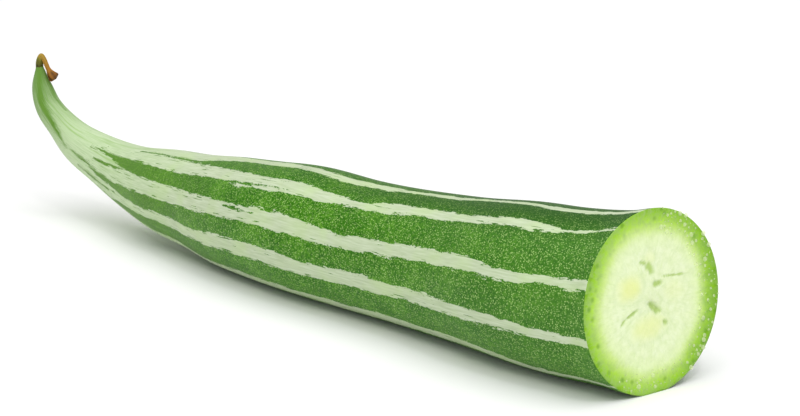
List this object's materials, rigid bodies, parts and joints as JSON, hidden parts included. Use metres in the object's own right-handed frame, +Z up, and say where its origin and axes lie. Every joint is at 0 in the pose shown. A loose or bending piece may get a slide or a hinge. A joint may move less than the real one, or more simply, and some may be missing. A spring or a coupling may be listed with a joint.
{
  "type": "snake gourd half",
  "caption": "Narrow end of a snake gourd, sliced across: striped green fruit lying on its side, its neck curling up to a withered flower.",
  "frame": {"origin": "middle of the footprint, on the surface that the gourd lies on", "axes": "+X along the fruit from the tip towards the cut face, +Y across it, +Z up"},
  "size_m": [0.3412, 0.0614, 0.0613],
  "materials": {
    "rind": "waxy satin skin, dark green with pale lengthwise stripes and fine pale specks",
    "dried_flower": "dry and wrinkled",
    "sap": "clear wet drops"
  },
  "bodies": {
    "root": {"gourd": "rind", "withered_flower": "dried_flower"}
  },
  "joints": []
}
